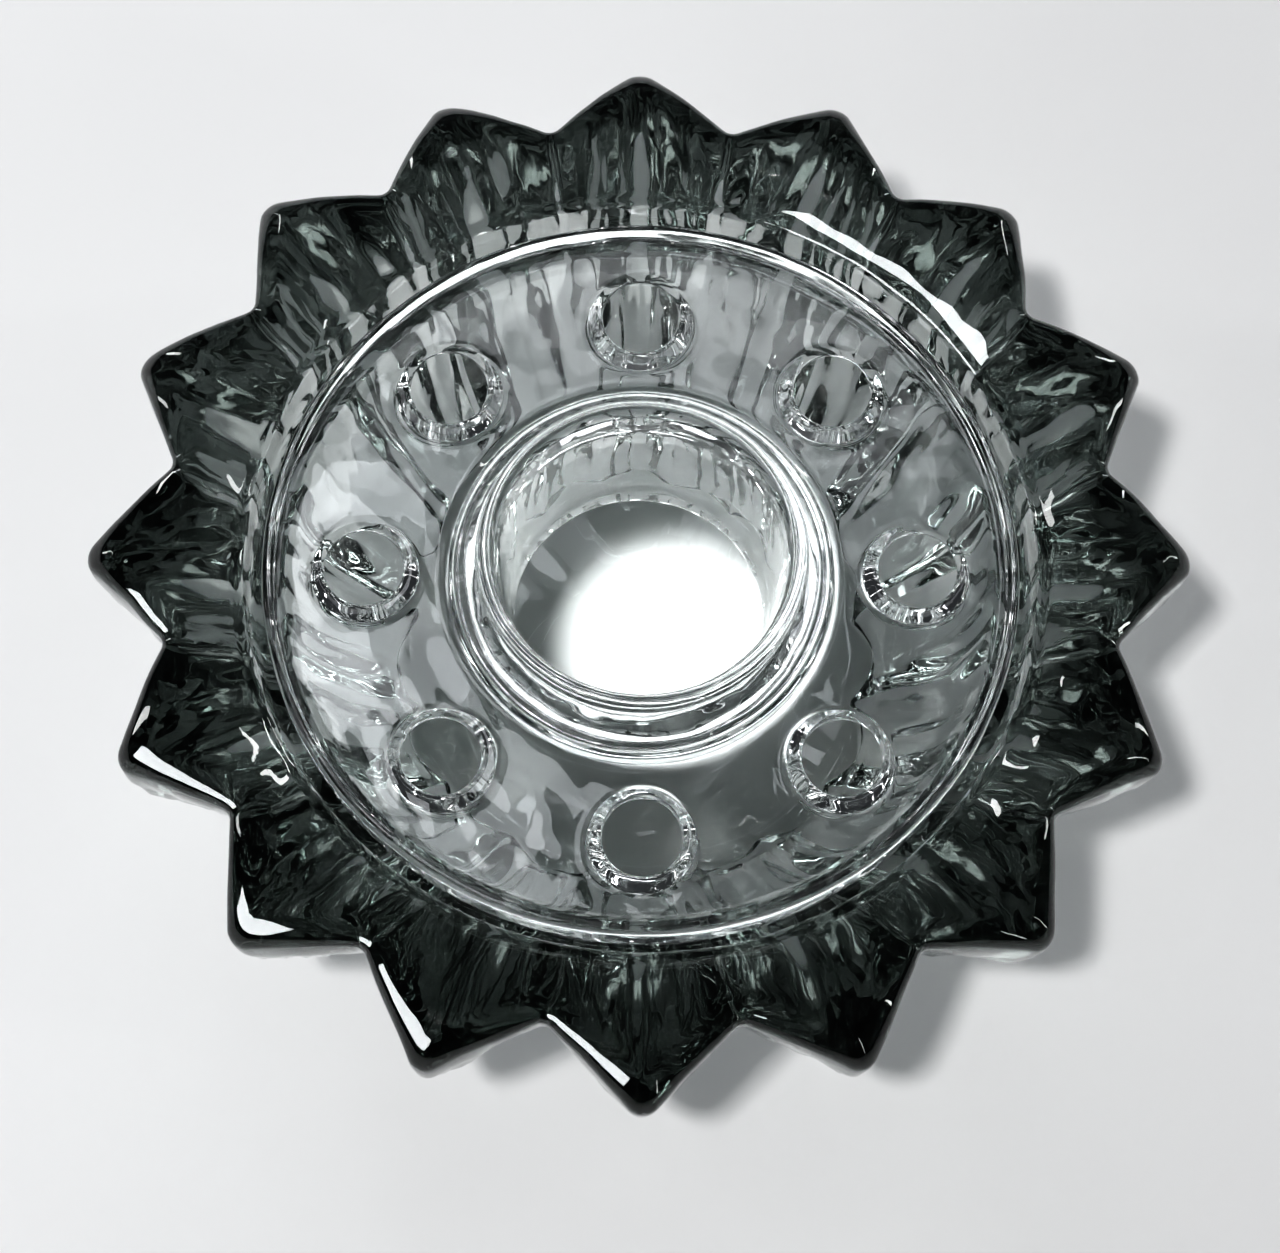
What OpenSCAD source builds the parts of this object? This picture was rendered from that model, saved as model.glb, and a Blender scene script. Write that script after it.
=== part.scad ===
// Flower frog: a heavy sixteen-point glass bowl and the loose glass frog that rests in its mouth.
// The origin is the centre of the flat base. Z points up. All lengths are in millimetres.

/* [Bowl outline] */

// Number of points round the star
point_count = 16; // [8:1:24]

// Radius of the circle through the tips, at the rim
rim_tip_radius = 90; // [88:0.5:100]

// Radius of the circle through the valleys, at the rim
rim_valley_radius = 78; // [76:0.5:82]

// Radius of the points where they reach the base
base_tip_radius = 47; // [44:0.5:60]

// Radius of the valleys where they reach the base
base_valley_radius = 40.5; // [40:0.5:55]

// Height of the tips above the base
tip_height = 59; // [56:0.5:64]

// How quickly the tip line curves in on its way down
tip_curve_power = 2.1; // [1.4:0.1:3]

// How quickly the valley line curves in on its way down
valley_curve_power = 1.6; // [1.4:0.1:3.5]

// How far the middle of a facet swells out, at most
facet_swell = 0.8; // [0:0.1:3]

// Height of the small bevel round the foot
foot_bevel = 1.2; // [0.5:0.1:2.5]

/* [Bowl rim and inside] */

// Radius at which the rounded rim is highest
rim_crest_radius = 79; // [76:0.5:82]

// Height of the crest of the rim above the base
rim_crest_height = 63; // [61:0.5:68]

// Radius of the round of the rim, seen in section
rim_round_radius = 18.3; // [16:0.1:24]

// Radius of the mouth that the frog drops into
mouth_radius = 64.6; // [64:0.1:66]

// Height of the ledge that carries the frog
ledge_height = 48; // [44:0.5:52]

// Radius of the opening inside the ledge
ledge_inner_radius = 58.5; // [56:0.5:60]

// Radius of the inside wall half way down
inside_middle_radius = 54; // [48:0.5:55]

// Height at which that middle radius is measured
inside_middle_height = 28; // [24:1:34]

// Radius of the inside floor
floor_radius = 40; // [34:0.5:42]

// Thickness of the glass under the inside floor
floor_thickness = 8; // [5:0.5:12]

// Radius of the round between the inside wall and the floor
floor_round = 6; // [3:0.5:8]

/* [Frog plate] */

// Outside radius of the frog
plate_radius = 61.9; // [60:0.1:63.5]

// Thickness of the plate at its edge, bead included
plate_edge_height = 8; // [6:0.25:10]

// Thickness of the plate beside the centre collar
plate_thickness = 6.2; // [5:0.1:6.5]

// Width of the raised bead round the edge
bead_width = 1.6; // [1.2:0.1:3]

// Height of the bead over the plate beside it
bead_height = 0.9; // [0.4:0.1:1.2]

// Size of the chamfer on the lower outside edge
edge_chamfer = 1.2; // [0.5:0.1:2]

/* [Stem holes] */

// Number of stem holes round the plate
stem_hole_count = 8; // [4:1:10]

// Radius of the circle the stem holes stand on
stem_circle_radius = 45.4; // [44:0.1:47]

// Radius of a stem hole at its narrow upper end
stem_hole_top_radius = 6.4; // [5:0.1:7]

// Radius of a stem hole where it opens out below
stem_hole_bottom_radius = 8.7; // [7.5:0.1:9]

// Height of the short straight neck at the top of a stem hole
stem_hole_neck = 0.8; // [0.4:0.1:1.2]

/* [Centre collar and tube] */

// Inside radius of the collar at its top
collar_inner_radius = 23.8; // [22:0.1:25]

// Height of the collar over the underside of the plate
collar_height = 14; // [11:0.25:16]

// Radius where the outside of the collar meets the plate
collar_foot_radius = 31; // [30:0.1:32]

// Inside radius of the tube at its lower end
tube_inner_radius = 21.2; // [19:0.1:21.5]

// Outside radius of the tube at its lower end
tube_outer_radius = 25.4; // [24.5:0.1:26.5]

// Outside radius of the tube just under the plate
tube_root_radius = 28.5; // [27.5:0.1:29.5]

// Length of the tube below the underside of the plate
tube_length = 19; // [12:0.5:24]

/* [Display] */

// Which piece to draw: all, or the name of one piece

/* [Hidden] */

// Names of the separate pieces

// Fineness of round surfaces
$fn = 128;

// Overlap that keeps cuts clean
clean = 0.01;

// Angle from one tip to the next
point_step = 360 / point_count;

// Number of levels used for the curved outside of the bowl
level_count = 12;

// Height that the outside of the bowl is built to before the rim is shaped
blank_height = rim_crest_height + 1;

// Centre of the round of the rim, seen in section
rim_round_height = rim_crest_height - rim_round_radius;

// Height of the underside of the frog plate when it rests on the ledge
plate_bottom = ledge_height;

// Height of the top of the bead
bead_top = plate_bottom + plate_edge_height;

// Height of the plate surface just inside the bead
plate_top_outer = bead_top - bead_height;

// Height of the plate surface at the foot of the collar
plate_top_inner = plate_bottom + plate_thickness;

// Height of the top of the collar
collar_top = plate_bottom + collar_height;

// Lowest height of the tube
tube_bottom = plate_bottom - tube_length;

// Radius of the rounded lower end of the tube
tube_end_round = (tube_outer_radius - tube_inner_radius) / 2;

// Radius of the rounded top of the collar
collar_crest_round = 1.6;

// Radius of the hollow between the tube and the plate
tube_root_round = 3.2;

// Share of the way up to the tips, kept between 0 and 1
function rise(z) = min(1, z / tip_height);

// Radius of the tip line at a height
function tip_radius(z) =
    base_tip_radius
    + (rim_tip_radius - base_tip_radius) * (1 - pow(1 - rise(z), tip_curve_power));

// Radius of the valley line at a height
function valley_radius(z) =
    base_valley_radius
    + (rim_valley_radius - base_valley_radius) * (1 - pow(1 - rise(z), valley_curve_power));

// Height of one level of the curved outside; levels are closer together near the base
function level_height(i) =
    i == 0 ? 0
    : i == 1 ? foot_bevel
    : i == level_count + 1 ? blank_height
    : foot_bevel + (tip_height - foot_bevel) * pow((i - 1) / (level_count - 1), 1.25);

// Inward set of a level, for the bevel round the foot
function level_inset(i) = i == 0 ? foot_bevel : 0;

// Outward swell of the middle of a facet at a height; it fades out towards the rim
function swell(z) = facet_swell * (1 - pow(rise(z), 2.6)) * (0.45 + 0.55 * rise(z));

// One of the sharp corners of the star; even ones are tips and odd ones are valleys
function sharp_corner(i, k) =
    let (z = level_height(i))
    let (r = (k % 2 == 0 ? tip_radius(z) : valley_radius(z)) - level_inset(i))
    let (a = 90 + k * point_step / 2)
    [r * cos(a), r * sin(a), z];

// Middle of the facet between sharp corner k and the next one, moved outward by the swell
function facet_middle(i, k) =
    let (a = sharp_corner(i, k))
    let (b = sharp_corner(i, k + 1))
    let (along = (b - a) / norm(b - a))
    (a + b) / 2 + swell(level_height(i)) * [along.y, -along.x, 0];

// Corners of the outline in order: a sharp corner, then the middle of a facet, and so on
function star_corner(i, k) = k % 2 == 0 ? sharp_corner(i, k / 2) : facet_middle(i, (k - 1) / 2);

// Solid with sixteen ridges that curve from the base up to the rim
module star_blank() {
    corners = 4 * point_count;
    last = level_count + 1;
    points = [
        for (i = [0 : last])
            for (k = [0 : corners - 1])
                star_corner(i, k)
    ];
    // each wall patch is split along the line that leaves the middle of the facet
    walls = [
        for (i = [0 : last - 1])
            for (k = [0 : corners - 1])
                let (n = (k + 1) % corners)
                let (a = i * corners + k)
                let (b = i * corners + n)
                let (c = a + corners)
                let (d = b + corners)
                each (k % 2 == 0 ? [[a, c, b], [b, c, d]] : [[a, d, b], [a, c, d]])
    ];
    base = [[for (k = [0 : corners - 1]) k]];
    top = [[for (k = [corners - 1 : -1 : 0]) last * corners + k]];
    polyhedron(points = points, faces = concat(base, top, walls), convexity = 8);
}

// Everything above the smooth crown of the rim
module above_crown() {
    rotate_extrude()
        difference() {
            translate([mouth_radius - 2, rim_round_height + 8])
                square([rim_tip_radius + 8 - mouth_radius, rim_round_radius + 4]);
            translate([rim_crest_radius, rim_round_height])
                circle(r = rim_round_radius);
        }
}

// Hollow of the bowl: mouth, ledge, sloping wall and round-cornered floor
module inside_of_bowl() {
    rotate_extrude()
        union() {
            translate([0, ledge_height])
                square([mouth_radius, rim_crest_height]);
            polygon([
                [0, floor_thickness + floor_round],
                [floor_radius + floor_round * 0.6, floor_thickness + floor_round],
                [inside_middle_radius, inside_middle_height],
                [ledge_inner_radius, ledge_height + clean],
                [0, ledge_height + clean]
            ]);
            translate([floor_radius - floor_round * 0.35, floor_thickness + floor_round])
                circle(r = floor_round);
            translate([0, floor_thickness])
                square([floor_radius - floor_round * 0.35, floor_round + clean]);
        }
}

// Heavy pressed-glass bowl with a pointed rim
module star_bowl() {
    color([0.86, 0.9, 0.89, 0.5])
        difference() {
            star_blank();
            above_crown();
            inside_of_bowl();
        }
}

// Section of the frog without its stem holes
module frog_section() {
    difference() {
        union() {
            // plate, gently dished towards the collar
            polygon([
                [collar_inner_radius, plate_bottom],
                [plate_radius - edge_chamfer, plate_bottom],
                [plate_radius, plate_bottom + edge_chamfer],
                [plate_radius, plate_top_outer],
                [collar_foot_radius, plate_top_inner],
                [collar_inner_radius, plate_top_inner]
            ]);
            // bead round the edge
            translate([plate_radius - bead_width, plate_top_outer - 1])
                square([bead_width, bead_height + 1 - bead_width / 2]);
            translate([plate_radius - bead_width / 2, bead_top - bead_width / 2])
                circle(r = bead_width / 2, $fn = 48);
            // collar that rises to a rounded lip
            polygon([
                [collar_inner_radius - 0.6, plate_bottom],
                [collar_foot_radius, plate_top_inner - 1],
                [collar_foot_radius, plate_top_inner],
                [collar_inner_radius + 2 * collar_crest_round, collar_top - collar_crest_round],
                [collar_inner_radius, collar_top - collar_crest_round]
            ]);
            translate([collar_inner_radius + collar_crest_round, collar_top - collar_crest_round])
                circle(r = collar_crest_round, $fn = 48);
            // tube that hangs below the plate, with a rounded end
            polygon([
                [tube_inner_radius, tube_bottom + tube_end_round],
                [tube_outer_radius, tube_bottom + tube_end_round],
                [tube_root_radius, plate_bottom + 0.5],
                [collar_inner_radius - 0.6, plate_bottom + 0.5]
            ]);
            translate([tube_inner_radius + tube_end_round, tube_bottom + tube_end_round])
                circle(r = tube_end_round, $fn = 48);
            // fillet between the tube and the underside of the plate
            difference() {
                translate([tube_root_radius - 2, plate_bottom - tube_root_round])
                    square([tube_root_round + 2, tube_root_round + 0.5]);
                translate([tube_root_radius + tube_root_round, plate_bottom - tube_root_round])
                    circle(r = tube_root_round, $fn = 64);
                translate([tube_root_radius - 2 - clean, plate_bottom - tube_root_round - clean])
                    square([1.2, tube_root_round]);
            }
        }
        // straight taper through the middle
        polygon([
            [0, tube_bottom - 1],
            [tube_inner_radius, tube_bottom - 1],
            [tube_inner_radius, tube_bottom + tube_end_round],
            [collar_inner_radius, collar_top - collar_crest_round],
            [collar_inner_radius, collar_top + 1],
            [0, collar_top + 1]
        ]);
    }
}

// Tapered cutter for one stem hole, with a short straight neck above the taper
module stem_hole() {
    top = plate_top_inner
        + (plate_top_outer - plate_top_inner)
        * (stem_circle_radius - collar_foot_radius)
        / (plate_radius - collar_foot_radius);
    translate([0, 0, plate_bottom - clean])
        cylinder(
            h = top - plate_bottom - stem_hole_neck,
            r1 = stem_hole_bottom_radius,
            r2 = stem_hole_top_radius
        );
    translate([0, 0, top - stem_hole_neck - 2 * clean])
        cylinder(h = 4, r = stem_hole_top_radius);
}

// Clear glass frog: a drilled plate with a collar and a tube in the middle
module frog_insert() {
    color([0.9, 0.93, 0.93, 0.5])
        difference() {
            rotate_extrude()
                frog_section();
            for (i = [0 : stem_hole_count - 1])
                rotate([0, 0, 90 + i * 360 / stem_hole_count])
                    translate([stem_circle_radius, 0, 0])
                        stem_hole();
        }
}

star_bowl();
frog_insert();
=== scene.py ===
"""Looks of the flower frog: a thick sixteen-point glass bowl and the loose glass frog in its mouth."""

import math

import bmesh
import bpy
import numpy as np
from mathutils import Matrix, Vector


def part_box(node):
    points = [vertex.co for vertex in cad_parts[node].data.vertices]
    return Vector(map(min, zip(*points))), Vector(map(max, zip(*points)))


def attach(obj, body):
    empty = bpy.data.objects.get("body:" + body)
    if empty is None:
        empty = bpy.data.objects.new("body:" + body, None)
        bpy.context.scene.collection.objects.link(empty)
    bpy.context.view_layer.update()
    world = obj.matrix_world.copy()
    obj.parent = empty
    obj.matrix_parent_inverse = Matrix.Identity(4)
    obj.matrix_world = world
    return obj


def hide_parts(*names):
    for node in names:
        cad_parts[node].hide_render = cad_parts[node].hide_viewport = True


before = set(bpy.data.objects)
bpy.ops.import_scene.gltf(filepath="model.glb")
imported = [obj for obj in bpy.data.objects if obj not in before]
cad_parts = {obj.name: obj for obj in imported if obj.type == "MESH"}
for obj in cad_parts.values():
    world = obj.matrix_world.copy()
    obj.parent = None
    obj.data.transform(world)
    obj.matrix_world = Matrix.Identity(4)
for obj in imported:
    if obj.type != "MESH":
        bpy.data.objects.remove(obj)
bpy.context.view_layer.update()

MM = 0.001

# ---- shape of the bowl, in millimetres ----
POINTS = 16
TIP_SHARP, VALLEY_SHARP = 91.05, 77.7      # rim corners before they are rounded
BASE_TIP, BASE_VALLEY = 47.4, 40.5
TIP_HEIGHT = 59.0
TIP_POWER, VALLEY_POWER = 2.1, 1.6
TIP_ROUND, VALLEY_ROUND = 3.2, 2.2
BULGE = 0.8                                 # the facets swell to this on the way down
CREST_RADIUS, CREST_HEIGHT, CROWN_ROUND = 79.0, 63.0, 18.3
RIM_FILLET, RIM_FILLET_DROP = 4.0, 3.4
MOUTH_RADIUS, MOUTH_LIP = 64.6, 1.5
LEDGE_HEIGHT, LEDGE_INNER = 47.75, 58.7
FLOOR_HEIGHT = 8.0
FOOT_ROUND = 1.2
RECESS_RADIUS, RECESS_DEPTH = 36.0, 0.7
RIM_WEIGHT = 0.78                           # how far the rounded edge reaches into its sharp corner
# heights of the waves in the skin: broad, fine, upright ribs, flow ripples
BOWL_WAVE_HEIGHTS = (0.14, 0.045, 0.28, 0.30)

# ---- shape of the frog, in millimetres ----
HOLES = 8
HOLE_CIRCLE = 45.4
HOLE_TOP, HOLE_BOTTOM = 6.4, 8.7
HOLE_LIP_TOP, HOLE_LIP_BOTTOM = 1.3, 1.1
PATCH_INNER, PATCH_OUTER = 33.5, 57.0      # the drilled band of the plate
PLATE_BOTTOM, PLATE_TOP_INNER, PLATE_TOP_OUTER = 48.0, 54.2, 55.1
COLLAR_FOOT, PLATE_RADIUS = 31.0, 61.9
ARC_STEPS, SIDE_STEPS = 40, 24
FROG_WAVE_HEIGHTS = (0.05, 0.015)           # broad, fine

# ---- both meshes, in millimetres ----
MERGE_DISTANCE = 0.002                      # corners closer than this become one
KEEP_INSIDE = 0.01                          # gap left to the CAD box


def waves(seed, length, stretch=1.0, count=28):
    """A smooth bumpy function of place, about -1 to 1, with bumps of about the length in millimetres.
    A stretch above 1 draws the bumps out along z."""
    rng = np.random.default_rng(seed)
    ways = rng.normal(size=(count, 3))
    ways /= np.linalg.norm(ways, axis=1)[:, None]
    ways *= (2 * math.pi / (length * rng.uniform(0.7, 1.7, count)))[:, None]
    ways[:, 2] /= stretch
    starts = rng.uniform(0, 2 * math.pi, count)
    return lambda p: np.sin(p @ ways.T + starts).sum(1) / math.sqrt(count)


def quads(ring_count, n):
    """Faces between closed rings of n points, one ring after another."""
    i = np.arange(ring_count - 1)[:, None] * n
    j = np.arange(n)[None, :]
    a, b = i + j, i + (j + 1) % n
    return np.stack([a, b, b + n, a + n], -1).reshape(-1, 4)


def curve(points, steps):
    """A smooth line through the points, as a Catmull-Rom spline with the given steps between them."""
    before = 2 * np.array(points[0], float) - points[1]
    after = 2 * np.array(points[-1], float) - points[-2]
    p = np.array([before, *points, after])
    out = []
    for k in range(1, len(p) - 2):
        t = np.linspace(0, 1, steps, endpoint=False)[:, None]
        a, b, c, d = p[k - 1], p[k], p[k + 1], p[k + 2]
        square, cube = 2 * a - 5 * b + 4 * c - d, 3 * b - a - 3 * c + d
        out.append(0.5 * (2 * b + (c - a) * t + square * t**2 + cube * t**3))
    return np.vstack([*out, p[-2][None]])


def arc(centre, radius, start, end, steps):
    """Points of an arc in a section, angles in degrees, both ends included."""
    t = np.radians(np.linspace(start, end, steps + 1))
    return np.stack([centre[0] + radius * np.cos(t), centre[1] + radius * np.sin(t)], -1)


def make(name, vertices, faces, amount, wave_list, low, high, merge=0.0):
    """A smooth mesh object, moved along its normals by the waves and kept inside the box (mm)."""
    mesh = bpy.data.meshes.new(name)
    mesh.from_pydata(vertices.tolist(), [], faces)
    mesh.update()
    if merge:
        work = bmesh.new()
        work.from_mesh(mesh)
        bmesh.ops.remove_doubles(work, verts=work.verts, dist=merge)
        work.to_mesh(mesh)
        work.free()
    count = len(mesh.vertices)
    co, no = np.zeros(count * 3, np.float32), np.zeros(count * 3, np.float32)
    mesh.vertices.foreach_get("co", co)
    mesh.vertex_normals.foreach_get("vector", no)
    co, no = co.reshape(-1, 3).astype(float), no.reshape(-1, 3).astype(float)
    push = sum(a * w(co) for a, w in zip(amount, wave_list))
    co = co + no * push[:, None]
    co = np.clip(co, np.array(low) + KEEP_INSIDE, np.array(high) - KEEP_INSIDE) * MM
    mesh.vertices.foreach_set("co", co.astype(np.float32).ravel())
    mesh.polygons.foreach_set("use_smooth", [True] * len(mesh.polygons))
    mesh.update()
    thing = bpy.data.objects.new(name, mesh)
    bpy.context.scene.collection.objects.link(thing)
    return thing


# ---- bowl ----
def crown(r):
    """Height of the crown of the rim at a radius."""
    rise = np.sqrt(np.maximum(CROWN_ROUND**2 - (r - CREST_RADIUS) ** 2, 4.0))
    return CREST_HEIGHT - CROWN_ROUND + rise


def half_angles(tip, valley):
    """Half the corner angle at a tip and at a valley."""
    half = math.pi / POINTS
    along = np.array([valley * math.cos(half) - tip, valley * math.sin(half)])
    along /= np.linalg.norm(along)
    return math.acos(-along[0]), math.acos(-along[0] * math.cos(half) - along[1] * math.sin(half))


TIP_HALF, VALLEY_HALF = half_angles(TIP_SHARP, VALLEY_SHARP)


def star(tip, valley, tip_round, valley_round, swell=0.0):
    """One closed outline with rounded corners and swollen facets: (places, outward directions)."""
    half = math.pi / POINTS
    t, v = np.array([tip, 0.0]), valley * np.array([math.cos(half), math.sin(half)])
    along = (v - t) / np.linalg.norm(v - t)
    out = np.array([along[1], -along[0]])
    turn = math.atan2(out[1], out[0])
    sharp = math.pi / 2 - turn
    centre = np.array([tip - tip_round / math.sin(sharp), 0.0])
    tip_angles = np.linspace(0, turn, 6)
    tip_way = np.stack([np.cos(tip_angles), np.sin(tip_angles)], -1)
    way_v = v / np.linalg.norm(v)
    open_half = math.acos(float(-along @ way_v))
    centre_v = v + way_v * valley_round / math.sin(open_half)
    valley_angles = np.linspace(turn, half, 5)
    valley_way = np.stack([np.cos(valley_angles), np.sin(valley_angles)], -1)
    tip_places = centre + tip_round * tip_way
    valley_places = centre_v - valley_round * valley_way
    s = np.linspace(0, 1, 12)[1:-1, None]
    line = tip_places[-1] * (1 - s) + valley_places[0] * s
    places = np.vstack([tip_places, line, valley_places])
    ways = np.vstack([tip_way, np.repeat(out[None], len(line), 0), valley_way])
    run = np.concatenate([[0], np.cumsum(np.linalg.norm(np.diff(places, axis=0), axis=1))])
    run /= run[-1]
    places = places + (swell * 4 * run * (1 - run))[:, None] * out
    flip = np.array([1.0, -1.0])
    all_places, all_ways = [], []
    for k in range(POINTS):
        a = math.pi / 2 + k * 2 * half
        spin = np.array([[math.cos(a), math.sin(a)], [-math.sin(a), math.cos(a)]])
        left_p, left_w = places[1:][::-1] * flip, ways[1:][::-1] * flip
        all_places += [left_p[1:] @ spin, places @ spin]
        all_ways += [left_w[1:] @ spin, ways @ spin]
    return np.vstack(all_places), np.vstack(all_ways)


def level(z):
    """Outline of the outside of the bowl at a height."""
    s = min(1.0, z / TIP_HEIGHT)
    tip = BASE_TIP + (TIP_SHARP - BASE_TIP) * (1 - (1 - s) ** TIP_POWER)
    valley = BASE_VALLEY + (VALLEY_SHARP - BASE_VALLEY) * (1 - (1 - s) ** VALLEY_POWER)
    swell = BULGE * (1 - s**2.6) * (0.45 + 0.55 * s)
    return star(tip, valley, TIP_ROUND - 0.8 * (1 - s), VALLEY_ROUND - 0.6 * (1 - s), swell)


def flutes(p):
    """Upright ribs left by the mould, on the walls but not on the rim or the base."""
    r = np.linalg.norm(p[:, :2], axis=1)
    round_wall = p.copy()
    round_wall[:, :2] *= (58.0 / np.maximum(r, 1.0))[:, None]
    # the ledge and the mouth stay true, so that the frog sits flat
    end = np.where(r < 66, 47, 57)
    fade = np.clip((r - 43) / 8, 0, 1) * np.clip((end - p[:, 2]) / 10, 0, 1)
    inside = 1 + 0.6 * np.clip((62 - r) / 4, 0, 1)
    return waves(13, 4.8, stretch=11.0)(round_wall) * fade * inside


def ripples(p):
    """Fine flow ripples in the thick glass of the points, on the outside only."""
    r = np.linalg.norm(p[:, :2], axis=1)
    fade = np.clip((r - 63) / 6, 0, 1) * np.clip((54 - p[:, 2]) / 8, 0, 1)
    return waves(14, 4.4, stretch=1.6)(p) * fade


def bowl():
    rings = []

    def add(places, z):
        rings.append(np.column_stack([places, np.broadcast_to(z, len(places))]))

    foot, foot_way = level(FOOT_ROUND)
    angle = np.arctan2(foot[:, 1], foot[:, 0])
    spoke = np.stack([np.cos(angle), np.sin(angle)], -1)
    for r, z in [(0.0, RECESS_DEPTH), (12, RECESS_DEPTH), (24, RECESS_DEPTH), (32, RECESS_DEPTH)]:
        add(spoke * r, z)
    for r, z in curve([(34.5, RECESS_DEPTH), (RECESS_RADIUS, RECESS_DEPTH * 0.5), (37.5, 0.0)], 4):
        add(spoke * r, max(z, 0.0))
    for t in np.linspace(0, 90, 6):
        c, s = math.cos(math.radians(t)), math.sin(math.radians(t))
        add(foot - foot_way * FOOT_ROUND * (1 - s), FOOT_ROUND * (1 - c))
    top, top_way = level(TIP_HEIGHT)
    rim_z = crown(np.linalg.norm(top, axis=1))
    for s in (np.linspace(0, 1, 30) ** 1.15)[1:]:
        # each level follows the rim up, so that the last one runs just under the rounded edge
        z = FOOT_ROUND + s * (rim_z - RIM_FILLET_DROP - FOOT_ROUND)
        flat = FOOT_ROUND + s * (TIP_HEIGHT - FOOT_ROUND)
        places, _ = level(flat)
        add(places, z)
    under, edge = rings[-1], np.column_stack([top, rim_z])
    inner, _ = star(
        TIP_SHARP - RIM_FILLET / math.sin(TIP_HALF), VALLEY_SHARP - RIM_FILLET / math.sin(VALLEY_HALF),
        max(TIP_ROUND - RIM_FILLET, 0.5), VALLEY_ROUND + RIM_FILLET,
    )
    inner = np.column_stack([inner, crown(np.linalg.norm(inner, axis=1))])
    for t in np.linspace(0, 1, 13)[1:]:
        a, b, c = (1 - t) ** 2, 2 * t * (1 - t) * RIM_WEIGHT, t * t
        rings.append((a * under + b * edge + c * inner) / (a + b + c))
    rim_angle = np.arctan2(inner[:, 1], inner[:, 0])
    rim_spoke = np.stack([np.cos(rim_angle), np.sin(rim_angle)], -1)
    lip_start = MOUTH_RADIUS + MOUTH_LIP
    inner_r = np.linalg.norm(inner[:, :2], axis=1)
    for s in np.linspace(0, 1, 16)[1:]:
        r = inner_r + (lip_start - inner_r) * s
        rings.append(np.column_stack([rim_spoke * r[:, None], crown(r)]))
    lip_z = float(crown(lip_start)) - MOUTH_LIP
    for r, z in arc((lip_start, lip_z), MOUTH_LIP, 90, 180, 6)[1:]:
        add(rim_spoke * r, z)
    inside = [(MOUTH_RADIUS, 52.0), (MOUTH_RADIUS, LEDGE_HEIGHT + 1.2)]
    inside += arc((MOUTH_RADIUS - 1.2, LEDGE_HEIGHT + 1.2), 1.2, 0, -90, 4).tolist()[1:]
    inside += [(62.0, LEDGE_HEIGHT), (60.4, LEDGE_HEIGHT)]
    inside += arc((LEDGE_INNER + 1.3, LEDGE_HEIGHT - 1.3), 1.3, 90, 172, 5).tolist()
    inside += curve([(58.0, 44.0), (56.4, 36.0), (53.6, 27.0), (49.0, 19.5), (43.7, 13.2)], 5).tolist()
    inside += arc((37.9, 14.0), 6.0, -14, -90, 6).tolist()
    inside += [(33.0, FLOOR_HEIGHT), (24.0, FLOOR_HEIGHT), (12.0, FLOOR_HEIGHT), (0.0, FLOOR_HEIGHT)]
    for r, z in inside:
        add(rim_spoke * r, z)
    n = len(spoke)
    faces = quads(len(rings), n).tolist()
    low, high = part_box("star_bowl")
    return make(
        "star_bowl_glass", np.vstack(rings), faces, BOWL_WAVE_HEIGHTS,
        (waves(11, 17.0), waves(12, 6.0), flutes, ripples), low / MM, high / MM,
        merge=MERGE_DISTANCE,
    )


# ---- frog ----
def plate_top(r):
    """Height of the top of the plate at a radius."""
    share = (r - COLLAR_FOOT) / (PLATE_RADIUS - COLLAR_FOOT)
    return PLATE_TOP_INNER + (PLATE_TOP_OUTER - PLATE_TOP_INNER) * share


def turned(section, sink):
    """Turns a section round the middle and adds it to the (vertices, faces) in sink."""
    n = HOLES * ARC_STEPS
    a = np.radians(67.5 + np.arange(n) * 360 / n)
    spoke = np.stack([np.cos(a), np.sin(a)], -1)
    rings = [np.column_stack([spoke * r, np.full(n, z)]) for r, z in section]
    start = sum(len(v) for v in sink[0])
    sink[0].append(np.vstack(rings))
    sink[1].append(quads(len(rings), n) + start)


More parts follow.
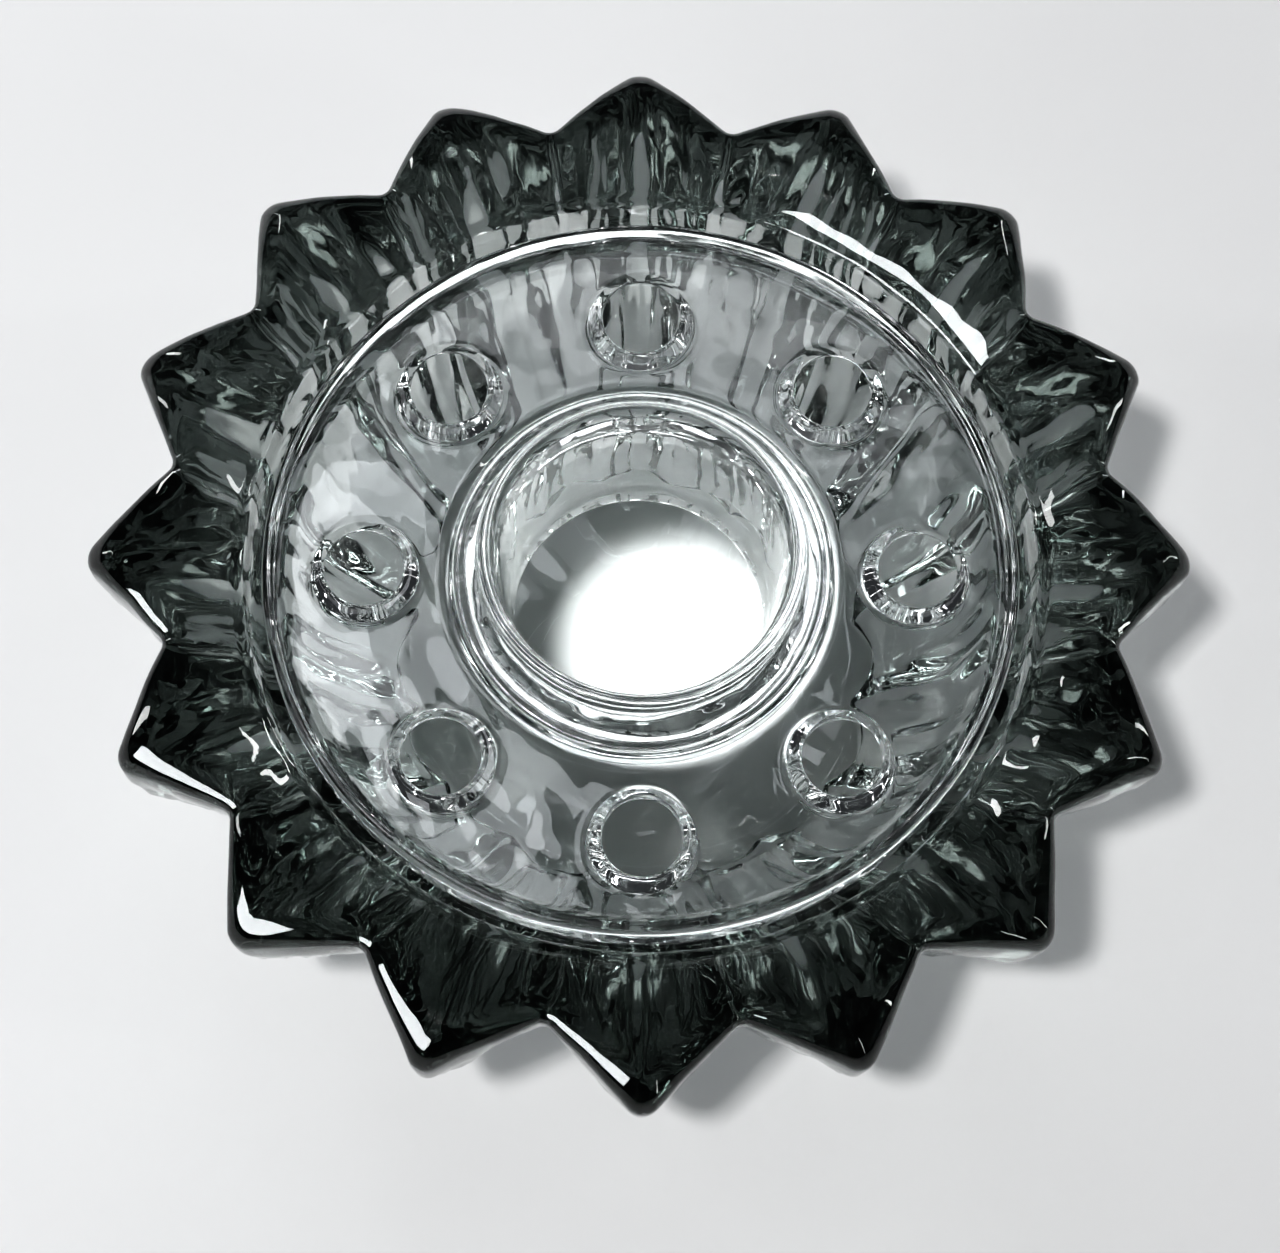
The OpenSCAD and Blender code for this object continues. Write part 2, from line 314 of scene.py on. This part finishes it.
def drilled_patch(k, sink):
    """One eighth of the drilled band: top, tapered hole and underside."""
    middle = math.radians(90 + 360 / HOLES * k)
    side = math.pi / HOLES
    out = np.linspace(PATCH_INNER, PATCH_OUTER, SIDE_STEPS + 1)
    sweep = np.linspace(-side, side, ARC_STEPS + 1)
    edge = [(r, -side) for r in out[:-1]] + [(PATCH_OUTER, a) for a in sweep[:-1]]
    edge += [(r, side) for r in out[::-1][:-1]] + [(PATCH_INNER, a) for a in sweep[::-1][:-1]]
    edge = np.array([(r * math.cos(middle + a), r * math.sin(middle + a)) for r, a in edge])
    centre = HOLE_CIRCLE * np.array([math.cos(middle), math.sin(middle)])
    way = edge - centre
    reach = np.linalg.norm(way, axis=1)
    way /= reach[:, None]
    rings = []

    def add(distance, drop, top):
        p = centre + way * np.broadcast_to(distance, len(way))[:, None]
        z = plate_top(np.linalg.norm(p, axis=1)) - drop if top else np.full(len(p), PLATE_BOTTOM + drop)
        rings.append(np.column_stack([p, z]))

    start_top = HOLE_TOP + HOLE_LIP_TOP
    for s in np.linspace(0, 1, 10)[:-1]:
        add(reach + (start_top - reach) * s, 0.0, True)
    for t in np.radians(np.linspace(0, 84, 8)):
        add(HOLE_TOP + HOLE_LIP_TOP * (1 - math.sin(t)), HOLE_LIP_TOP * (1 - math.cos(t)), True)
    last_top = rings[-1]
    start_bottom = HOLE_BOTTOM + HOLE_LIP_BOTTOM
    lower = []
    for t in np.linspace(0, 1, 7):
        a, b, c = (1 - t) ** 2, 1.5 * t * (1 - t), t * t
        total = a + b + c
        d = (a * (HOLE_BOTTOM - 0.35) + b * HOLE_BOTTOM + c * start_bottom) / total
        lower.append((d, a * HOLE_LIP_BOTTOM / total))
    d0, z0 = lower[0]
    first_low = np.column_stack([centre + way * d0, np.full(len(way), PLATE_BOTTOM + z0)])
    for s in np.linspace(0, 1, 7)[1:-1]:
        rings.append(last_top * (1 - s) + first_low * s)
    for d, z in lower:
        add(d, z, False)
    for s in np.linspace(0, 1, 10)[1:]:
        add(start_bottom + (reach - start_bottom) * s, 0.0, False)
    start = sum(len(v) for v in sink[0])
    sink[0].append(np.vstack(rings))
    sink[1].append(quads(len(rings), len(edge)) + start)


def frog():
    sink = ([], [])
    # top of the plate, collar, inside of the tube, its rounded end, outside of the tube, underside
    section = [(PATCH_INNER, float(plate_top(PATCH_INNER)))]
    flank = [(32.4, 54.35), (30.9, 55.1), (29.4, 57.0), (28.0, 59.2), (26.75, 61.0)]
    section += curve(flank, 5).tolist()
    section += arc((25.35, 60.4), 1.55, 28, 180, 9).tolist()
    section += curve([(23.75, 58.5), (23.3, 52.0), (22.4, 42.0), (21.3, 32.5)], 6).tolist()
    section += arc((23.3, 31.1), 2.1, 180, 352, 12).tolist()
    section += curve([(25.6, 34.0), (26.6, 39.0), (27.6, 43.5), (28.6, 45.7), (30.4, 47.4)], 5).tolist()
    section += [(31.6, 47.85), (PATCH_INNER, PLATE_BOTTOM)]
    turned(section, sink)
    # underside, thick edge, bead and back to the plate
    edge = [(PATCH_OUTER, PLATE_BOTTOM), (59.0, PLATE_BOTTOM)]
    edge += arc((60.4, 49.3), 1.3, -90, -6, 5).tolist()
    edge += [(61.8, 51.0), (61.88, 53.0)]
    edge += arc((60.85, 54.95), 1.04, 0, 150, 8).tolist()
    back = [(59.4, 55.25), (58.6, 55.06), (PATCH_OUTER, float(plate_top(PATCH_OUTER)))]
    edge += curve(back, 3).tolist()
    turned(edge, sink)
    for k in range(HOLES):
        drilled_patch(k, sink)
    low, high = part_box("frog_insert")
    return make(
        "frog_glass_body", np.vstack(sink[0]), np.vstack(sink[1]).tolist(), FROG_WAVE_HEIGHTS,
        (waves(21, 15.0), waves(22, 5.0)), low / MM, high / MM, merge=MERGE_DISTANCE,
    )


# ---- materials ----
def node(tree, kind, place, **values):
    made = tree.nodes.new(kind)
    made.location = place
    for key, value in values.items():
        if hasattr(made, key):
            setattr(made, key, value)
        else:
            made.inputs[key.replace("_", " ")].default_value = value
    return made


def glass(name, tints, ior, rough, wave_scale, wave_strength, absorb, density):
    """Clear cast glass with a faint cloudy tint, waves in its skin and smoky absorption inside."""
    material = bpy.data.materials.new(name)
    material.use_nodes = True
    tree = material.node_tree
    tree.nodes.clear()
    link = tree.links.new
    place = node(tree, "ShaderNodeTexCoord", (-1200, 0))
    cloud = node(tree, "ShaderNodeTexNoise", (-950, 250), Scale=28.0, Detail=3.0)
    ramp = node(tree, "ShaderNodeValToRGB", (-700, 250))
    ramp.color_ramp.elements[0].position = 0.3
    ramp.color_ramp.elements[1].position = 0.72
    ramp.color_ramp.elements[0].color = (*tints[0], 1)
    ramp.color_ramp.elements[1].color = (*tints[1], 1)
    smear = node(tree, "ShaderNodeTexNoise", (-950, -50), Scale=140.0, Detail=5.0)
    spread = node(tree, "ShaderNodeMapRange", (-700, -50))
    spread.inputs["To Min"].default_value = rough[0]
    spread.inputs["To Max"].default_value = rough[1]
    swell = node(tree, "ShaderNodeTexNoise", (-950, -350), Scale=wave_scale, Detail=2.0)
    bump = node(tree, "ShaderNodeBump", (-450, -350), Strength=wave_strength, Distance=0.001)
    skin = node(tree, "ShaderNodeBsdfPrincipled", (-150, 200))
    skin.inputs["IOR"].default_value = ior
    skin.inputs["Transmission Weight"].default_value = 1.0
    soak = node(tree, "ShaderNodeVolumeAbsorption", (200, -200))
    soak.inputs["Color"].default_value = (*absorb, 1)
    soak.inputs["Density"].default_value = density
    out = node(tree, "ShaderNodeOutputMaterial", (450, 100))
    for texture in (cloud, smear, swell):
        link(place.outputs["Object"], texture.inputs["Vector"])
    link(cloud.outputs["Fac"], ramp.inputs["Fac"])
    link(ramp.outputs["Color"], skin.inputs["Base Color"])
    link(smear.outputs["Fac"], spread.inputs["Value"])
    link(spread.outputs["Result"], skin.inputs["Roughness"])
    link(swell.outputs["Fac"], bump.inputs["Height"])
    link(bump.outputs["Normal"], skin.inputs["Normal"])
    link(skin.outputs["BSDF"], out.inputs["Surface"])
    link(soak.outputs["Volume"], out.inputs["Volume"])
    return material


def floor_material():
    material = bpy.data.materials.new("studio_floor")
    material.use_nodes = True
    tree = material.node_tree
    skin = tree.nodes["Principled BSDF"]
    place = node(tree, "ShaderNodeTexCoord", (-900, 0))
    cloud = node(tree, "ShaderNodeTexNoise", (-700, 0), Scale=6.0, Detail=4.0)
    ramp = node(tree, "ShaderNodeValToRGB", (-450, 0))
    ramp.color_ramp.elements[0].color = (0.80, 0.80, 0.81, 1)
    ramp.color_ramp.elements[1].color = (0.84, 0.84, 0.845, 1)
    tree.links.new(place.outputs["Object"], cloud.inputs["Vector"])
    tree.links.new(cloud.outputs["Fac"], ramp.inputs["Fac"])
    tree.links.new(ramp.outputs["Color"], skin.inputs["Base Color"])
    skin.inputs["Roughness"].default_value = 0.85
    return material


# ---- put it together ----
bowl_glass = glass(
    "bowl_smoky_glass", ((0.93, 0.96, 0.95), (0.97, 0.985, 0.98)), 1.51, (0.0, 0.02), 55.0, 0.10,
    (0.62, 0.645, 0.635), 60.0,
)
frog_glass = glass(
    "frog_clear_glass", ((0.95, 0.96, 0.965), (0.985, 0.985, 0.99)), 1.5, (0.0, 0.03), 70.0, 0.12,
    (0.80, 0.82, 0.82), 12.0,
)
the_bowl, the_frog = bowl(), frog()
the_bowl.data.materials.append(bowl_glass)
the_frog.data.materials.append(frog_glass)
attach(the_bowl, "bowl")
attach(the_frog, "frog")
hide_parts("star_bowl")
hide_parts("frog_insert")

# ---- floor, lamps and sky, in metres ----
LAMP_AIM = (0, 0, 0.05)
WHITE, WARM, DAYLIGHT, SKYLIGHT = (1, 1, 1), (1.0, 0.99, 0.98), (0.95, 0.98, 1.0), (0.95, 0.97, 1.0)
STRIP_DISTANCE, STRIP_HEIGHT, STRIP_LENGTH = 0.85, 0.34, 0.5
BEAM_RADIUS, BEAM_HEIGHT = 0.021, 1.2
FLOOR_SIZE, FLOOR_GAP = 6.0, 0.0002         # the gap keeps the floor off the base of the bowl

bpy.ops.mesh.primitive_plane_add(size=FLOOR_SIZE, location=(0, 0, -FLOOR_GAP))
floor = bpy.context.object
floor.name = "studio_floor"
floor.data.materials.append(floor_material())


def lamp(name, place, size, power, colour, mirrored=False):
    """A softbox that faces the middle of the bowl. Only a mirrored one shows as a highlight on glass."""
    data = bpy.data.lights.new(name, "AREA")
    data.shape = "RECTANGLE"
    data.size, data.size_y = size
    data.energy, data.color = power, colour
    made = bpy.data.objects.new(name, data)
    made.location = place
    made.rotation_mode = "QUATERNION"
    made.rotation_quaternion = (Vector(place) - Vector(LAMP_AIM)).to_track_quat("Z", "Y")
    made.visible_glossy = mirrored
    bpy.context.scene.collection.objects.link(made)
    return made


def group(name, thing):
    """A collection that holds one object, for light linking."""
    made = bpy.data.collections.new(name)
    made.objects.link(thing)
    return made


frog_only = group("lit_on_the_frog_only", the_frog)
bowl_only = group("lit_on_the_bowl_only", the_bowl)

# the key lamp gives the shadow, and the low window fills it from the left
lamp("key_softbox", (-0.26, -0.27, 1.15), (0.09, 0.09), 6.0, WARM)
lamp("low_window", (-0.72, -0.50, 0.27), (0.50, 0.22), 2.2, DAYLIGHT)
lamp("back_window", (-0.15, 1.0, 0.42), (0.9, 0.08), 3.6, DAYLIGHT)

# two soft patches mirrored in the plate of the frog
plate_lamp = lamp("plate_softbox", (-0.12, 0.26, 1.0), (0.14, 0.34), 0.55, SKYLIGHT, True)
top_lamp = lamp("top_softbox", (0.02, 0.50, 1.0), (0.36, 0.18), 0.30, SKYLIGHT, True)
for made in (plate_lamp, top_lamp):
    made.light_linking.receiver_collection = frog_only

# the highlights along the rim, and the light seen through the far wall
rim_lamp = lamp("rim_window", (-0.65, -0.455, 0.47), (0.80, 0.50), 19.0, DAYLIGHT, True)
rim_lamp.visible_transmission = False
far_lamp = lamp("far_window", (0.10, 0.80, 0.30), (0.60, 0.30), 9.0, DAYLIGHT)
for made in (rim_lamp, far_lamp):
    made.light_linking.receiver_collection = bowl_only

# narrow upright strips round the bowl: turn in degrees, width, power
for turn, width, power in [
    (-20, 0.020, 0.45), (15, 0.040, 0.60), (50, 0.020, 0.40),
    (128, 0.024, 0.45), (165, 0.048, 0.70), (300, 0.020, 0.30),
]:
    a = math.radians(turn)
    place = (STRIP_DISTANCE * math.cos(a), STRIP_DISTANCE * math.sin(a), STRIP_HEIGHT)
    lamp(f"strip_{turn}", place, (width, STRIP_LENGTH), power, WHITE, True)

# the white spot seen through the tube; only the floor can block this lamp
beam = bpy.data.lights.new("centre_beam", "SPOT")
beam.energy = 70.0
beam.spot_size = 2 * math.atan(BEAM_RADIUS / BEAM_HEIGHT)
beam.spot_blend = 0.12
beam.shadow_soft_size = 0.004
beam_lamp = bpy.data.objects.new("centre_beam", beam)
beam_lamp.location = (0.0075, 0.0035, BEAM_HEIGHT)
bpy.context.scene.collection.objects.link(beam_lamp)
beam_lamp.light_linking.blocker_collection = group("lit_through_the_glass", floor)

world = bpy.data.worlds.new("studio_sky")
bpy.context.scene.world = world
world.use_nodes = True
sky = world.node_tree.nodes["Background"]
sky.inputs["Color"].default_value = (0.75, 0.8, 0.85, 1)
sky.inputs["Strength"].default_value = 0.05

# ---- camera ----
CAMERA_PLACE = Vector((-0.0090, -0.1626, 0.4904))
CAMERA_AIM = Vector((-0.0003, -0.0115, 0.0580))
CAMERA_ROLL = math.radians(3.38)
data = bpy.data.cameras.new("camera")
data.lens = 80.0
camera = bpy.data.objects.new("camera", data)
bpy.context.scene.collection.objects.link(camera)
camera.location = CAMERA_PLACE
facing = (CAMERA_PLACE - CAMERA_AIM).to_track_quat("Z", "Y").to_matrix()
camera.rotation_euler = (facing @ Matrix.Rotation(CAMERA_ROLL, 3, "Z")).to_euler()
bpy.context.scene.camera = camera

scene = bpy.context.scene
scene.view_settings.view_transform = "Standard"
scene.view_settings.look = "High Contrast"
scene.cycles.max_bounces = 24
scene.cycles.transmission_bounces = 24
scene.cycles.glossy_bounces = 12
scene.cycles.transparent_max_bounces = 24
scene.cycles.caustics_reflective = True
scene.cycles.caustics_refractive = True
scene.cycles.sample_clamp_indirect = 6.0
